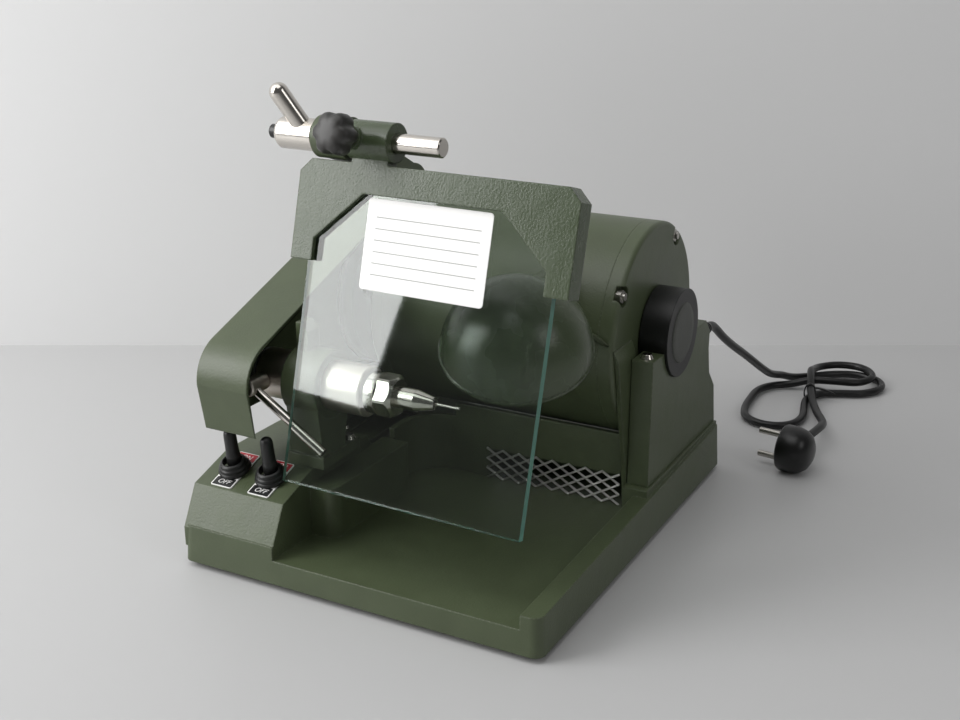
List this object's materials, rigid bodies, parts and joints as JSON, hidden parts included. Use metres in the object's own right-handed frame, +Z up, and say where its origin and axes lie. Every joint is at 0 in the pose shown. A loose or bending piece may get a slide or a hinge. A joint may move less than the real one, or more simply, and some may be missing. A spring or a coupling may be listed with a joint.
{
  "type": "dental lathe",
  "caption": "Bench lathe for dental work: belt-driven spindle over a cast tray, motor behind, suction and lamp hoods, toggle switches and a swinging glass shield.",
  "frame": {"origin": "centre of the base's footprint at the table, under the rubber feet", "axes": "+X to the operator's right, +Y to the back, +Z up"},
  "size_m": [0.33, 0.572, 0.308],
  "materials": {
    "green_paint": "semi-gloss",
    "chrome": "polished",
    "steel": "satin",
    "aluminium": "satin",
    "black_rubber": "matte",
    "black_plastic": "satin",
    "plate": "satin",
    "copper": "varnished",
    "glass": "clear",
    "bulb_glass": "clear",
    "cord": "satin"
  },
  "bodies": {
    "machine": {"base_casting": "green_paint", "base_plate": "steel", "belt_guard": "green_paint", "cord_bundle": "cord", "cord_tail": "cord", "drive_belt": "black_rubber", "dust_hood": "green_paint", "lamp_bracket": "green_paint", "lamp_bulb": "bulb_glass", "lamp_hood": "green_paint", "lamp_socket": "black_plastic", "large_screws": "chrome", "motor_bearings": "steel", "motor_cradle_left": "green_paint", "motor_cradle_right": "green_paint", "motor_end_bell_left": "green_paint", "motor_end_bell_right": "green_paint", "motor_shell": "green_paint", "motor_stator": "steel", "motor_tie_bolts": "chrome", "plug_body": "black_plastic", "plug_pins": "steel", "power_cord": "cord", "rubber_feet": "black_rubber", "rubber_mount_left": "black_rubber", "rubber_mount_right": "black_rubber", "shield_arm": "green_paint", "shield_rod": "chrome", "small_screws": "chrome", "spindle_bearings": "steel", "spindle_carrier": "green_paint", "spindle_housing": "chrome", "stator_windings": "copper", "strain_relief": "black_plastic", "suction_grille": "steel", "switch_bodies": "black_plastic", "switch_collars": "steel", "switch_plates": "plate"},
    "motor_rotor": {"motor_rotor": "steel", "motor_shaft": "steel", "motor_pulley": "aluminium", "motor_fan": "black_plastic"},
    "spindle": {"spindle_shaft": "steel", "spindle_pulley": "aluminium", "chuck_nut": "chrome", "chuck_nose": "chrome", "mandrel_pin": "steel"},
    "spindle_clamp": {"lock_screw": "chrome", "lock_bar": "chrome"},
    "motor_switch": {"motor_switch_lever": "steel", "motor_switch_boot": "black_rubber"},
    "lamp_switch": {"lamp_switch_lever": "steel", "lamp_switch_boot": "black_rubber"},
    "shield": {"shield_frame": "green_paint", "shield_glass": "glass"},
    "clamp_knob": {"clamp_knob": "black_plastic"},
    "clamp_lever": {"clamp_hub": "chrome", "clamp_handle": "chrome", "hub_cap": "black_plastic"}
  },
  "joints": [
    {"name": "motor_spin", "type": "hinge", "parent": "machine", "child": "motor_rotor", "pos_m": [0, 0.068, 0.134], "axis": [1, 0, 0], "continuous": true},
    {"name": "spindle_spin", "type": "hinge", "parent": "machine", "child": "spindle", "pos_m": [0, -0.092, 0.118], "axis": [1, 0, 0], "continuous": true},
    {"name": "spindle_clamp_turn", "type": "hinge", "parent": "machine", "child": "spindle_clamp", "pos_m": [-0.0965, -0.092, 0.118], "axis": [0, 1, 0], "range_deg": [-20, 5]},
    {"name": "motor_switch_tilt", "type": "hinge", "parent": "machine", "child": "motor_switch", "pos_m": [-0.1085, -0.127, 0.05885], "axis": [1, 0, 0], "range_deg": [0, 20]},
    {"name": "lamp_switch_tilt", "type": "hinge", "parent": "machine", "child": "lamp_switch", "pos_m": [-0.079, -0.127, 0.05885], "axis": [1, 0, 0], "range_deg": [0, 20]},
    {"name": "shield_swing", "type": "hinge", "parent": "machine", "child": "shield", "pos_m": [-0.019, -0.086, 0.276], "axis": [0.9995, -0.0314, 0], "range_deg": [-100, 0]},
    {"name": "knob_turn", "type": "hinge", "parent": "shield", "child": "clamp_knob", "pos_m": [-0.028, -0.08572, 0.276], "axis": [-0.0303, -0.9654, 0.2588], "continuous": true},
    {"name": "clamp_lever_turn", "type": "hinge", "parent": "machine", "child": "clamp_lever", "pos_m": [-0.019, -0.086, 0.276], "axis": [0.9995, -0.0314, 0], "range_deg": [-30, 30]}
  ],
  "couplings": [
    {"joint": "spindle_spin", "follows": "motor_spin", "ratio": 3.72}
  ]
}
